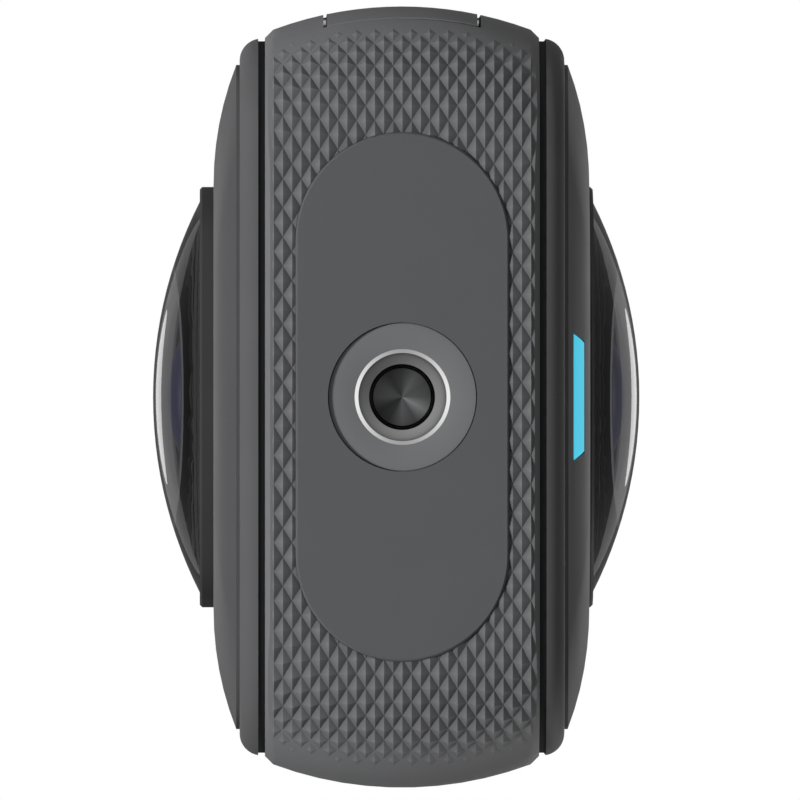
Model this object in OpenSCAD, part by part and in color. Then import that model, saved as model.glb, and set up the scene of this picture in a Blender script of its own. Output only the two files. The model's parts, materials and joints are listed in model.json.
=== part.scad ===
// Pocket 360 degree camera: a slim upright body with a fisheye lens on each face.
// +Z is up, the screen faces -Y and the origin is the centre of the foot plate's outer face.

/* [Body] */
// Width across the barrel-shaped sides
body_w = 46.2; // [44:0.1:60]
// Height from the foot plate to the top
body_h = 113; // [108:0.5:140]
// Depth of the grip band between the two seals
band_d = 16.2; // [16.2:0.1:20]
// Plan radius of the outward bulge of the sides
bulge_r = 21.8; // [18:0.1:60]
// Corner radius at the foot
foot_corner_r = 7.5; // [6.5:0.1:9]
// Corner radius at the top
top_corner_r = 9.5; // [8:0.1:12]
// Thickness of the frame's side wall at its thin edges
frame_wall = 1.2; // [1:0.05:1.6]
// Thickness of the frame's floor and roof
end_wall = 2.2; // [1.8:0.1:3]
// Chamfer along the band's edges
band_chamfer = 0.3; // [0.1:0.05:0.4]

/* [Shells and covers] */
// Height of the rubber seal between the band and a shell
seal_t = 0.4; // [0.3:0.05:0.8]
// Thickness of a shell's panel
shell_t = 1.1; // [0.9:0.05:1.6]
// Radius of a shell's rounded rim
rim_r = 1.3; // [1.1:0.05:2]
// Step from the band's edge in to a shell's rim
rim_step = 0.34; // [0.1:0.02:0.5]
// Step from the band's edge in to a cover's edge
cover_inset = 1.9; // [1.7:0.05:2.6]
// Height of a cover's upright edge
cover_edge = 0.2; // [0.1:0.05:0.5]
// Width of a cover's crowned margin
crown_w = 7; // [5:0.1:9]
// Rise of a cover's crowned margin
crown_h = 1.35; // [1:0.05:2]
// Radius of the screw bosses in the frame's corners
boss_r = 2.1; // [1.9:0.05:2.5]

/* [Foot] */
// Length of the foot plate
plate_l = 31.2; // [28:0.1:32]
// Width of the foot plate
plate_w = 12.6; // [11:0.1:14]
// Thickness of the foot plate
plate_t = 0.9; // [0.7:0.05:1.3]
// Height of the foot plate's face above the band
plate_rise = 0.3; // [0.1:0.05:0.5]
// Radius of the tripod insert's flange
flange_r = 4.3; // [4.1:0.05:5]
// Depth of the flange below the plate's face
flange_sink = 0.25; // [0.1:0.05:0.4]
// Radius of the tripod bore, the crests of a quarter-inch thread
socket_r = 2.57; // [2.4:0.01:2.8]
// Depth of the full tripod bore
socket_depth = 5.6; // [4.5:0.1:6.5]

/* [Lenses] */
// Distance from the top to the lens axis
lens_drop = 22; // [20:0.5:26]
// Outer radius of a lens ring
ring_r = 12.9; // [12:0.1:14]
// Height of a lens ring above its cover
ring_rise = 0.9; // [0.6:0.05:1.5]
// Wall of a lens ring round the glass
ring_wall = 0.85; // [0.6:0.05:1.2]
// Sphere radius of a lens dome's outer face
dome_sphere_r = 26.5; // [22:0.5:40]
// Radius of the hollow under a lens dome
hollow_r = 7.4; // [6:0.1:9]
// Rise of the hollow under a lens dome
hollow_rise = 1.7; // [1.2:0.05:2]

/* [Screen and shutter] */
// Distance from the lens axis down to the screen's centre
screen_drop = 33; // [30:0.5:40]
// Radius of the round screen glass
screen_r = 13.5; // [10:0.1:14]
// Distance from the screen's centre down to the shutter button
shutter_drop = 25; // [21:0.5:28]
// Radius of the shutter button
shutter_r = 4.6; // [3.5:0.1:5.5]
// Travel of both buttons
press = 0.3; // [0.15:0.05:0.35]
// Length of the status light along the foot edge
light_l = 7.4; // [5:0.1:9]

/* [Port door] */
// Width of the port door
door_w = 8.9; // [8.5:0.1:10]
// Height of the door's lower edge
door_z = 4.7; // [4:0.1:6]
// Distance from the door's lower edge to its hinge pin
door_l = 19.8; // [19:0.1:24]
// Radius of the hinge pin
pin_r = 0.4; // [0.3:0.05:0.45]

/* [Power button] */
// Distance from the lens axis down to the power button
power_drop = 25; // [22:0.5:28]
// Length of the power button
power_l = 9; // [7:0.1:11]
// Width of the power button
power_w = 3.6; // [3:0.1:5]

/* [Battery] */
// Thickness of the battery
battery_t = 11.2; // [10:0.1:11.6]
// Height of the battery
battery_h = 46; // [38:0.5:48]
// Length of the battery behind its cap
battery_l = 26.6; // [22:0.1:28]
// Height of the battery's lower edge
battery_z = 14; // [13.5:0.5:18]
// Margin of the battery's cap above and below the cell
cap_margin = 2; // [1.5:0.1:3]
// Width of the battery's cap
cap_w = 12; // [11.8:0.1:13]
// Travel of the battery's latch
latch_travel = 2.4; // [2:0.1:2.6]

/* [Fits] */
// Gap round flush outside parts that move
gap = 0.2; // [0.1:0.05:0.3]
// Clearance of parts that slip into one another
slip = 0.1; // [0.05:0.01:0.15]

/* [Hidden] */
$fn = 64;

// Outline of the body
half_w = body_w / 2;
half_band = band_d / 2;
foot_z = plate_rise;
edge_w = half_w - sag(half_band);
cav_x = edge_w - frame_wall;
cav_z0 = foot_z + end_wall;
cav_z1 = body_h - end_wall;
corner_step = 2;
cav_foot_r = foot_corner_r - corner_step;
cav_top_r = top_corner_r - corner_step;

// Levels from the band out to the lens
shell_y0 = half_band + seal_t;
shell_y1 = shell_y0 + shell_t;
cover_y = shell_y1 + cover_edge + crown_h;
ring_y = cover_y + ring_rise;
ledge_y = cover_y + 0.15;
dome_r = ring_r - ring_wall - 0.05;
dome_rise = dome_sphere_r - sqrt(dome_sphere_r * dome_sphere_r - dome_r * dome_r);

// Heights of the features on the axis
lens_z = body_h - lens_drop;
screen_z = lens_z - screen_drop;
shutter_z = screen_z - shutter_drop;
power_z = lens_z - power_drop;
mic_z = lens_z - 13;
speaker_z = 44;
door_pin_z = door_z + door_l;
cap_z0 = battery_z - cap_margin;
cap_z1 = battery_z + battery_h + cap_margin;
battery_x0 = cav_x + 0.1 - battery_l;
bay_x0 = battery_x0 - 0.4;

// Plan radius of the barrel: how far the side falls back at depth y
function sag(y) = bulge_r - sqrt(bulge_r * bulge_r - y * y);

// Flat outlines

// Rounded upright panel from z0 to z1, half width w, with its own foot and top radii
module upright(w, z0, z1, foot_r, top_r) {
    translate([-w, z0 + foot_r]) square([2 * w, z1 - z0 - foot_r - top_r]);
    translate([foot_r - w, z0]) square([2 * (w - foot_r), foot_r]);
    translate([top_r - w, z1 - top_r]) square([2 * (w - top_r), top_r]);
    for (s = [-1, 1]) {
        translate([s * (w - foot_r), z0 + foot_r]) circle(foot_r);
        translate([s * (w - top_r), z1 - top_r]) circle(top_r);
    }
}

// The body's face outline, set in from the band's edge
module face(inset) {
    upright(edge_w - inset, foot_z + inset, body_h - inset, foot_corner_r - inset, top_corner_r - inset);
}

// The cavity's outline, set in from the frame's inner wall
module cavity(inset) {
    upright(cav_x - inset, cav_z0 + inset, cav_z1 - inset, cav_foot_r - inset, cav_top_r - inset);
}

// Slot with round ends, l long along its first axis
module slot(l, w) {
    square([l - w, w], center = true);
    for (s = [-1, 1]) translate([s * (l - w) / 2, 0]) circle(w / 2);
}

// Rectangle with round corners, centred
module soft_rect(a, b, r) {
    square([a - 2 * r, b], center = true);
    square([a, b - 2 * r], center = true);
    for (s = [-1, 1], t = [-1, 1]) translate([s * (a / 2 - r), t * (b / 2 - r)]) circle(r);
}

// Placing

// Extrudes an (x, z) outline from y0 to y1
module along_y(y0, y1) {
    translate([0, y1, 0]) rotate([90, 0, 0]) linear_extrude(y1 - y0) children();
}

// Extrudes a (y, z) outline from x0 to x1
module along_x(x0, x1) {
    translate([x0, 0, 0]) rotate([90, 0, 90]) linear_extrude(x1 - x0) children();
}

// Box between two corners
module span(a, b) {
    translate(a) cube(b - a);
}

// Round bar along Y from y0 to y1
module bar_y(x, z, r, y0, y1) {
    translate([x, y0, z]) rotate([-90, 0, 0]) cylinder(r = r, h = y1 - y0);
}

// Round bar along X from x0 to x1
module bar_x(y, z, r, x0, x1) {
    translate([x0, y, z]) rotate([0, 90, 0]) cylinder(r = r, h = x1 - x0);
}

// Turns a rear part to the screen side
module front() {
    mirror([0, 1, 0]) children();
}

// Turns an (r, y) profile about the lens axis
module lens_turn() {
    translate([0, 0, lens_z]) rotate([-90, 0, 0]) rotate_extrude() children();
}

// Sweeps an (outward, y) profile round the band's edge outline
module round_the_edge() {
    for (s = [0, 1]) mirror([s, 0, 0]) {
        translate([edge_w, 0, foot_z + foot_corner_r])
            linear_extrude(body_h - foot_z - foot_corner_r - top_corner_r) children();
        translate([edge_w - foot_corner_r, 0, foot_z + foot_corner_r])
            rotate([-90, 0, 0]) rotate_extrude(angle = 90) translate([foot_corner_r, 0]) children();
        translate([edge_w - top_corner_r, 0, body_h - top_corner_r]) mirror([0, 0, 1])
            rotate([-90, 0, 0]) rotate_extrude(angle = 90) translate([top_corner_r, 0]) children();
    }
    translate([0, 0, foot_z]) rotate([0, 90, 0])
        linear_extrude(2 * (edge_w - foot_corner_r), center = true) children();
    translate([0, 0, body_h]) mirror([0, 0, 1]) rotate([0, 90, 0])
        linear_extrude(2 * (edge_w - top_corner_r), center = true) children();
}

// Housing

// One side of the barrel: the upright outline turned about a vertical axis, and a block behind the axis
module barrel_side() {
    axis_x = half_w - bulge_r;
    translate([axis_x, 0, 0]) rotate_extrude($fn = 240) intersection() {
        upright(bulge_r, foot_z, body_h, foot_corner_r, top_corner_r);
        square([bulge_r + 1, body_h + 1]);
    }
    span([-body_w, -half_band, foot_z], [axis_x, half_band, body_h]);
}

// The solid that the frame, the port door and the battery's cap are cut from
module band_solid() {
    intersection() {
        barrel_side();
        mirror([1, 0, 0]) barrel_side();
        span([-body_w, -half_band, 0], [body_w, half_band, body_h + 1]);
    }
}

// Corner bosses that take the shell screws, centres as [x, z]
boss_bite = 0.25;
boss_reach_foot = (cav_foot_r - boss_r + boss_bite) / sqrt(2);
boss_reach_top = (cav_top_r - boss_r + boss_bite) / sqrt(2);
boss_spots = [
    for (s = [-1, 1]) [s * (cav_x - cav_foot_r + boss_reach_foot), cav_z0 + cav_foot_r - boss_reach_foot],
    for (s = [-1, 1]) [s * (cav_x - cav_top_r + boss_reach_top), cav_z1 - cav_top_r + boss_reach_top]
];
boss_l = 3;
shell_screw_r = 0.8;
shell_head_r = 1.25;
shell_head_h = 0.7;
hex_r = 0.5;
hex_depth = 0.35;

// Lugs that carry the main board on the side walls, as [side, z]
board_y0 = -7.1;
board_t = 0.8;
board_y1 = board_y0 + board_t;
board_z0 = cav_z0 + 5.5;
board_z1 = lens_z - 14.5;
lug_w = 2.8;
lug_l = 3.8;
lug_t = 1;
lug_screw_x = cav_x - 2.6;
root = 0.4;
post_r = 1.8;
socket_tower_wall = 1.7;
grille_pitch = 1.6;
lug_spots = [[1, board_z0 + 1.5], [1, cap_z1 + gap + 4], [-1, door_pin_z + 0.5], [-1, power_z + 4]];

module mid_frame() {
    color([0.25, 0.25, 0.26]) difference() {
        union() {
            difference() {
                band_solid();
                for (s = [0, 1]) mirror([0, s, 0]) round_the_edge() polygon([
                    [-band_chamfer - 0.2, half_band + 0.2], [1.2, half_band + 0.2],
                    [1.2, half_band - band_chamfer - 1.2]
                ]);
                along_y(-half_band - 1, half_band + 1) cavity(0);
            }
            for (p = boss_spots, s = [0, 1]) mirror([0, s, 0])
                bar_y(p[0], p[1], boss_r, shell_y0 - boss_l, shell_y0);
            for (p = lug_spots) scale([p[0], 1, 1])
                span([cav_x - lug_l, board_y1, p[1] - lug_w / 2],
                    [cav_x + root, board_y1 + lug_t, p[1] + lug_w / 2]);
            for (s = [-1, 1])
                bar_x(0, power_z + s * power_post_d, power_post_r, -cav_x - root, power_board_x);
            translate([0, 0, cav_z0 - root]) linear_extrude(insert_top - cav_z0 + root) {
                circle(insert_r + socket_tower_wall);
                for (s = [-1, 1]) translate([s * post_x, 0]) circle(post_r);
            }
        }
        for (p = boss_spots, s = [0, 1]) mirror([0, s, 0])
            bar_y(p[0], p[1], shell_screw_r + slip, shell_y0 - boss_l + root, shell_y0 + 1);
        for (p = lug_spots)
            bar_y(p[0] * lug_screw_x, p[1], board_screw_r + slip, board_y1 - 1, board_y1 + 2);
        foot_cuts();
        port_cuts();
        battery_cuts();
        along_x(-half_w - 1, 1 - cav_x) translate([0, power_z]) rotate(90)
            slot(power_l + 2 * gap, power_w + 2 * gap);
        along_x(-half_w - 1, 1 - cav_x)
            for (i = [-2:2]) translate([0, speaker_z + grille_pitch * i]) slot(4.4, 0.7);
        for (s = [0, 1]) mirror([s, 0, 0]) bar_x(0, mic_z, mic_hole_r, cav_x - 1, half_w + 1);
    }
}

// A shell with its rounded rim and the lip that centres it in the frame
lip_gap = 0.15;
lip_t = 1;
lip_l = 1;
module shell(lens_hole) {
    difference() {
        union() {
            round_the_edge() intersection() {
                translate([-rim_step - rim_r, shell_y1 - rim_r]) circle(rim_r);
                translate([-rim_step - rim_r, shell_y0]) square([rim_r + 1, shell_t + 1]);
            }
            along_y(shell_y0, shell_y1) face(rim_step + rim_r);
            along_y(shell_y0 - lip_l, shell_y0) difference() {
                cavity(lip_gap);
                cavity(lip_gap + lip_t);
            }
        }
        for (p = boss_spots) {
            bar_y(p[0], p[1], boss_r + gap, shell_y0 - lip_l - 1, shell_y0);
            bar_y(p[0], p[1], shell_screw_r + slip, shell_y0 - 1, shell_y1 + 1);
            bar_y(p[0], p[1], shell_head_r + slip, shell_y1 - shell_head_h - slip, shell_y1 + 1);
        }
        bar_y(0, lens_z, lens_hole, shell_y0 - 1, shell_y1 + 1);
    }
}

module rear_shell() {
    color([0.22, 0.22, 0.23]) shell(barrel_r + gap);
}

module front_shell() {
    color([0.22, 0.22, 0.23]) difference() {
        front() shell(barrel_r + gap);
        bar_y(0, shutter_z, plunger_r + gap, -shell_y1 - 1, -shell_y0 + 1);
        along_y(-shell_y1 - 1, -shell_y0 + 1) translate([0, light_z])
            square([light_l + 2 * slip, light_h + 2 * slip], center = true);
        span([-led_l / 2 - gap, -shell_y0, 0],
            [led_l / 2 + gap, -shell_y0 + lip_l + 1, light_z + light_h + 2]);
    }
}

// A crowned cover plate: its edge steps up to a flat face along an arc
crown_arc_r = (crown_w * crown_w + crown_h * crown_h) / (2 * crown_h);
crown_steps = 6;
function crown_drop(t) = crown_arc_r - sqrt(crown_arc_r * crown_arc_r - (crown_w - t) * (crown_w - t));
module cover() {
    skin = 0.02;
    corner_growth = 0.4;
    hull() {
        along_y(shell_y1, cover_y - crown_h) cover_ring(0, 0);
        for (i = [1:crown_steps]) let (t = crown_w * i / crown_steps)
            along_y(cover_y - crown_drop(t) - skin, cover_y - crown_drop(t))
                cover_ring(t, corner_growth * t);
    }
}

// A cover's outline t in from its edge, with its corners grown by g
module cover_ring(t, g) {
    in = cover_inset + t;
    upright(edge_w - in, foot_z + in, body_h - in,
        foot_corner_r - cover_inset + g, top_corner_r - cover_inset + g, $fn = 40);
}

module rear_cover() {
    color([0.13, 0.13, 0.14]) difference() {
        cover();
        bar_y(0, lens_z, skirt_r + slip, shell_y1 - 1, cover_y + 1);
    }
}

module front_cover() {
    color([0.13, 0.13, 0.14]) difference() {
        front() cover();
        bar_y(0, lens_z, skirt_r + slip, -cover_y - 1, -shell_y1 + 1);
        bar_y(0, screen_z, screen_r + gap, -cover_y - 1, -shell_y1 + 1);
        bar_y(0, shutter_z, shutter_r + gap, -cover_y - 1, -shell_y1 + 1);
        along_y(-cover_y - 1, -shell_y1 + 1) light_window(slip);
    }
}

// Rubber seal in the groove between the band and a shell
seal_sink = 0.5;
seal_w = 0.45;
module seal() {
    color("black") along_y(half_band, shell_y0) difference() {
        face(seal_sink);
        face(seal_sink + seal_w);
    }
}

module rear_seal() {
    seal();
}

module front_seal() {
    front() seal();
}

module shell_screws() {
    color("silver") for (p = boss_spots, s = [0, 1]) mirror([0, s, 0]) {
        bar_y(p[0], p[1], shell_screw_r, shell_y0 - boss_l + 0.8, shell_y1 - shell_head_h);
        difference() {
            bar_y(p[0], p[1], shell_head_r, shell_y1 - shell_head_h, shell_y1 - slip);
            translate([p[0], shell_y1 - hex_depth, p[1]]) rotate([-90, 0, 0])
                cylinder(r = hex_r, h = 1, $fn = 6);
        }
    }
}

// Foot

insert_r = 3.6;
insert_top = 8.4;
mouth_r = socket_r + 0.28;
pilot_r = socket_r - 0.7;
post_x = 8;
socket_screw_l = 3.5;

// What the foot plate, the tripod insert and their screws take out of the frame
module foot_cuts() {
    translate([0, 0, -1]) linear_extrude(plate_t + 1) slot(plate_l + 2 * slip, plate_w + 2 * slip);
    translate([0, 0, -1]) cylinder(r = insert_r + slip / 2, h = insert_top + 2);
    for (s = [-1, 1]) translate([s * post_x, 0, insert_top - socket_screw_l - root])
        cylinder(r = board_screw_r + slip / 2, h = socket_screw_l + 1);
}

// Smooth foot plate let into the knurled band, with a fine chamfer
module base_plate() {
    c = 0.12;
    color([0.34, 0.35, 0.36]) difference() {
        union() {
            translate([0, 0, c]) linear_extrude(plate_t - c) slot(plate_l, plate_w);
            for (s = [-1, 1]) translate([s * (plate_l - plate_w) / 2, 0, 0])
                cylinder(r1 = plate_w / 2 - c, r2 = plate_w / 2, h = c);
            rotate([90, 0, 90]) linear_extrude(plate_l - plate_w, center = true)
                polygon([[c - plate_w / 2, 0], [plate_w / 2 - c, 0], [plate_w / 2, c], [-plate_w / 2, c]]);
        }
        translate([0, 0, -1]) cylinder(r = flange_r + slip, h = plate_t + 2);
    }
}

// Turned insert: flange, body, chamfered mouth, bore, shoulder and drilled end
module tripod_socket() {
    bore_end = flange_sink + socket_depth;
    color([0.44, 0.44, 0.45]) rotate_extrude() polygon([
        [mouth_r, flange_sink], [flange_r, flange_sink], [flange_r, plate_t], [insert_r, plate_t],
        [insert_r, insert_top], [0, insert_top], [0, bore_end + 1.8], [pilot_r, bore_end + 0.9],
        [pilot_r, bore_end + 0.5], [socket_r, bore_end], [socket_r, flange_sink + mouth_r - socket_r]
    ]);
}

// Plate that screws down over the insert inside the body
plate_in_t = 0.8;
module socket_plate() {
    color("silver") difference() {
        translate([0, 0, insert_top]) linear_extrude(plate_in_t) soft_rect(2 * post_x + 4.4, 9, 1.5);
        for (s = [-1, 1]) translate([s * post_x, 0, insert_top - 1])
            cylinder(r = board_screw_r + slip, h = 3);
    }
}

board_screw_r = 0.7;
board_head_r = 1.3;
board_head_h = 0.6;
module socket_screws() {
    color("gray") for (s = [-1, 1]) translate([s * post_x, 0, 0]) {
        translate([0, 0, insert_top - socket_screw_l])
            cylinder(r = board_screw_r, h = socket_screw_l + plate_in_t);
        translate([0, 0, insert_top + plate_in_t]) cylinder(r = board_head_r, h = board_head_h);
    }
}

// Lenses

skirt_r = ring_r - 0.8;
barrel_r = skirt_r - 1.2;
carrier_y = shell_y0 - 1.3;
carrier_x = 10.5;
carrier_h = 7;

// Ring that clamps the glass: a skirt through the cover and a ledge under the dome
module lens_ring() {
    color([0.2, 0.2, 0.21]) lens_turn() polygon([
        [barrel_r + slip, shell_y1], [skirt_r, shell_y1], [skirt_r, cover_y], [ring_r, cover_y],
        [ring_r, ring_y - 0.15], [ring_r - 0.15, ring_y], [ring_r - ring_wall, ring_y],
        [ring_r - ring_wall, ledge_y], [barrel_r + slip, ledge_y]
    ]);
}

module rear_lens_ring() {
    lens_ring();
}

module front_lens_ring() {
    front() lens_ring();
}

// Outer glass: a thick meniscus with a flat rim that stands on the ring's ledge
module lens_dome() {
    hollow_sphere_r = (hollow_r * hollow_r + hollow_rise * hollow_rise) / (2 * hollow_rise);
    color([0.1, 0.1, 0.12]) lens_turn() difference() {
        intersection() {
            translate([0, ring_y + dome_rise - dome_sphere_r]) circle(dome_sphere_r, $fn = 200);
            translate([0, ledge_y]) square([dome_r, dome_rise + 2]);
        }
        translate([0, ledge_y + hollow_rise - hollow_sphere_r]) circle(hollow_sphere_r, $fn = 200);
    }
}

module rear_lens_dome() {
    lens_dome();
}

module front_lens_dome() {
    front() lens_dome();
}

// Black barrel with a flared mouth that carries the second element
element_r = 5.5;
stop_r = 4.2;
barrel_lip = 1.1;
barrel_step = 2.3;
element_seat_y = carrier_y + 0.8;
element_rim_y = element_seat_y + 1.2;
module lens_barrel() {
    color([0.06, 0.06, 0.07]) lens_turn() polygon([
        [barrel_r - barrel_lip, cover_y], [barrel_r, cover_y],
        [barrel_r, shell_y0 + 0.5], [barrel_r - barrel_step, shell_y0 + 0.5],
        [barrel_r - barrel_step, carrier_y], [stop_r, carrier_y], [stop_r, element_seat_y],
        [element_r + slip, element_seat_y], [element_r + slip, element_rim_y]
    ]);
}

module rear_lens_barrel() {
    lens_barrel();
}

module front_lens_barrel() {
    front() lens_barrel();
}

module lens_element() {
    crown_r = 6.5;
    crown_base = sqrt(crown_r * crown_r - element_r * element_r);
    color([0.15, 0.17, 0.22]) lens_turn() intersection() {
        translate([0, element_rim_y - crown_base]) circle(crown_r);
        translate([0, element_seat_y]) square([element_r, 2 * crown_r]);
    }
}

module rear_lens_element() {
    lens_element();
}

module front_lens_element() {
    front() lens_element();
}

// Prism that turns each beam sideways to its own sensor
prism_a = 3.5;
prism_y = carrier_y - 0.3;
module prism() {
    color("lightblue") translate([0, 0, lens_z - prism_a]) linear_extrude(2 * prism_a)
        polygon([[prism_a, prism_y], [-prism_a, prism_y], [prism_a, prism_y - 2 * prism_a + 0.6]]);
}

module rear_prism() {
    prism();
}

module front_prism() {
    rotate([0, 0, 180]) prism();
}

relay_r = 3.2;
relay_y = carrier_y - 3.5;
module relay_lens() {
    color("lightblue") bar_x(relay_y, lens_z, relay_r, prism_a + 0.7, carrier_x - 0.9);
}

module rear_relay_lens() {
    relay_lens();
}

module front_relay_lens() {
    rotate([0, 0, 180]) relay_lens();
}

// Image sensor on its board, screwed to the carrier's side
module sensor_board() {
    package_a = 4;
    package_t = 1.2;
    board_x = carrier_x + package_t;
    color("darkgreen") {
        span([carrier_x, relay_y - package_a, lens_z - package_a],
            [board_x, relay_y + package_a, lens_z + package_a]);
        span([board_x, relay_y - 7.5, lens_z - 7], [board_x + board_t, relay_y + package_a, lens_z + 7]);
    }
}

module rear_sensor_board() {
    sensor_board();
}

module front_sensor_board() {
    rotate([0, 0, 180]) sensor_board();
}

// Block that holds both lenses back to back, with arms out to the side walls
module lens_carrier() {
    chamber = prism_a + gap;
    arm = 2.5;
    color([0.3, 0.3, 0.32]) difference() {
        union() {
            span([-carrier_x, -carrier_y, lens_z - carrier_h], [carrier_x, carrier_y, lens_z + carrier_h]);
            span([-cav_x, -arm, lens_z - carrier_h - arm], [cav_x, arm, lens_z - carrier_h]);
        }
        span([-chamber, -carrier_y - 1, lens_z - chamber], [chamber, carrier_y + 1, lens_z + chamber]);
        bar_x(relay_y, lens_z, relay_r + gap, 0, carrier_x + 1);
        bar_x(-relay_y, lens_z, relay_r + gap, -carrier_x - 1, 0);
    }
}

// Boards

module main_board() {
    color("darkgreen") difference() {
        along_y(board_y0, board_y1) translate([0, (board_z0 + board_z1) / 2])
            soft_rect(2 * (cav_x - 1), board_z1 - board_z0, 1);
        for (p = lug_spots)
            bar_y(p[0] * lug_screw_x, p[1], board_screw_r + slip, board_y0 - 1, board_y1 + 1);
    }
}

module board_screws() {
    color("silver") for (p = lug_spots) {
        bar_y(p[0] * lug_screw_x, p[1], board_screw_r, board_y0, board_y1 + lug_t - 0.1);
        bar_y(p[0] * lug_screw_x, p[1], board_head_r, board_y0 - board_head_h, board_y0);
    }
}

module shield_can() {
    can_t = 1.1;
    color("silver") along_y(board_y0 - can_t, board_y0) translate([0, screen_z - 4]) soft_rect(24, 18, 0.8);
}

// Aluminium sheet that spreads the heat into the rear shell
module heat_spreader() {
    sheet_t = 0.8;
    sheet_z0 = board_z0 + 2;
    side_room = 3.5;
    color("silver") along_y(shell_y0 - sheet_t, shell_y0) translate([0, (sheet_z0 + board_z1) / 2])
        soft_rect(2 * (cav_x - side_room), board_z1 - sheet_z0, 2);
}

// Memory card socket on the board, facing the slit in the battery bay
card_z = battery_z + 21.5;
card_slit_h = 12;
module card_socket() {
    card_l = 11.8;
    card_h = 14;
    card_t = 1.4;
    card_x1 = bay_x0 - bay_wall - 0.6;
    color("silver") span([max(card_x1 - card_l, gap - cav_x), board_y1, card_z - card_h / 2],
        [card_x1, board_y1 + card_t, card_z + card_h / 2]);
}

// Screen, status light and shutter

glass_t = 0.8;
glass_sink = 0.05;
module display_glass() {
    bevel = 0.15;
    glass_y = cover_y - glass_sink;
    color([0.03, 0.03, 0.035]) translate([0, 0, screen_z]) rotate([90, 0, 0]) rotate_extrude() polygon([
        [0, glass_y - glass_t], [screen_r, glass_y - glass_t],
        [screen_r, glass_y - bevel], [screen_r - bevel, glass_y], [0, glass_y]
    ]);
}

module display_panel() {
    panel_r = screen_r - 0.4;
    color([0.1, 0.1, 0.1]) bar_y(0, screen_z, panel_r, glass_sink + glass_t - cover_y, -shell_y1);
}

light_h = 2.25;
light_margin = 0.95;
light_z = foot_z + cover_inset + light_margin + light_h / 2;
led_l = light_l + 2.6;

// Outline of the status light: a strip with slanted ends, grown all round by g
module light_window(g) {
    slant = 0.5;
    translate([0, light_z]) polygon([
        [-light_l / 2 - g, -light_h / 2 - g], [light_l / 2 + g, -light_h / 2 - g],
        [light_l / 2 - slant + g, light_h / 2 + g], [slant - light_l / 2 - g, light_h / 2 + g]
    ]);
}

module light_guide() {
    color([0.27, 0.79, 0.9]) {
        intersection() {
            front() cover();
            along_y(-cover_y - 1, -shell_y1) light_window(0);
        }
        along_y(-shell_y1, -shell_y0) light_window(0);
    }
}

module led_board() {
    board = 0.6;
    color("darkgreen") along_y(-shell_y0, board - shell_y0) translate([0, light_z])
        square([led_l, light_h + 0.5], center = true);
}

plunger_r = 1.5;
clip_t = 0.3;
clip_w = 0.9;

// Shutter button: a shallow dished cap on a plunger through the shell
module shutter_button() {
    cap_y = shell_y1 + press + 0.05;
    face_y = cover_y - 0.2;
    edge = 0.2;
    dish = 0.15;
    foot_y = shell_y0 - 0.5;
    color([0.16, 0.16, 0.17]) translate([0, 0, shutter_z]) rotate([90, 0, 0]) rotate_extrude() polygon([
        [0, foot_y], [plunger_r, foot_y], [plunger_r, cap_y], [shutter_r, cap_y],
        [shutter_r, face_y - edge], [shutter_r - edge, face_y], [shutter_r - 1, face_y], [0, face_y - dish]
    ]);
}

// Spring clip that keeps the button in the shell
module shutter_clip() {
    color("silver") translate([0, 0, shutter_z]) rotate([90, 0, 0]) rotate_extrude()
        translate([plunger_r, shell_y0 - slip - clip_t]) square([clip_w, clip_t]);
}

module shutter_switch() {
    switch_a = 1.75;
    switch_h = 0.5;
    color("silver") span([-switch_a, board_y0 - switch_h, shutter_z - switch_a],
        [switch_a, board_y0, shutter_z + switch_a]);
}

// Power button

power_board_x = 1.5 - cav_x;
power_post_d = power_l / 2 + 3.5;
power_post_r = 1.2;

module power_button() {
    flange_x = slip - cav_x;
    flange_w = 0.7;
    flange = 0.5;
    sink = 0.15;
    color([0.16, 0.16, 0.17]) {
        along_x(sink - half_w, flange_x + flange / 2) translate([0, power_z]) rotate(90)
            slot(power_l, power_w);
        along_x(flange_x, flange_x + flange) translate([0, power_z]) rotate(90)
            slot(power_l + 2 * flange_w, power_w + 2 * flange_w);
    }
}

module power_switch() {
    switch_h = 0.5;
    half_l = power_post_d + 1.5;
    half_d = 3;
    color("darkgreen") {
        span([power_board_x, -half_d, power_z - half_l], [power_board_x + 0.6, half_d, power_z + half_l]);
        span([power_board_x - switch_h, -1.5, power_z - 2], [power_board_x, 1.5, power_z + 2]);
    }
}

// Port and its door

knuckle_r = 1;
knuckle_ease = 0.03;
pin_x = knuckle_r - half_w;
pin_half = door_w / 2 + 1.15;
door_t = 1.5;
port_floor_x = door_t + 0.3 - half_w;
usb_z = door_z + 9.8;
port_y = 3.26;
port_h = 8.94;
port_x0 = port_floor_x + 0.4;

// What the door, its pin and the port take out of the frame
module port_cuts() {
    side = door_w / 2 + gap;
    span([-half_w - 1, -side, door_z - gap], [port_floor_x, side, door_pin_z]);
    span([-half_w - 1, -side, door_pin_z], [pin_x, side, door_pin_z + knuckle_r + gap]);
    bar_y(pin_x, door_pin_z, knuckle_r + gap, -side, side);
    bar_y(pin_x, door_pin_z, pin_r + 0.02, -pin_half - slip, pin_half + slip);
    along_x(-half_w, 1 - cav_x) translate([0, usb_z]) soft_rect(port_y + 0.6, port_h + 0.6, 1.6);
}

// Flush door: a slice of the barrel with a knuckle turned to the same bulge
module usb_door() {
    bore = pin_r + 0.04;
    color([0.25, 0.25, 0.26]) difference() {
        union() {
            intersection() {
                band_solid();
                span([-half_w - 1, -door_w / 2, door_z], [door_t - half_w, door_w / 2, door_pin_z]);
            }
            translate([pin_x, 0, door_pin_z]) rotate([90, 0, 0]) rotate_extrude() polygon([
                [0, -door_w / 2],
                for (i = [-4:4]) let (y = i * door_w / 8) [knuckle_r - knuckle_ease - sag(y), y],
                [0, door_w / 2]
            ]);
        }
        bar_y(pin_x, door_pin_z, bore, -door_w, door_w);
    }
}

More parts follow.
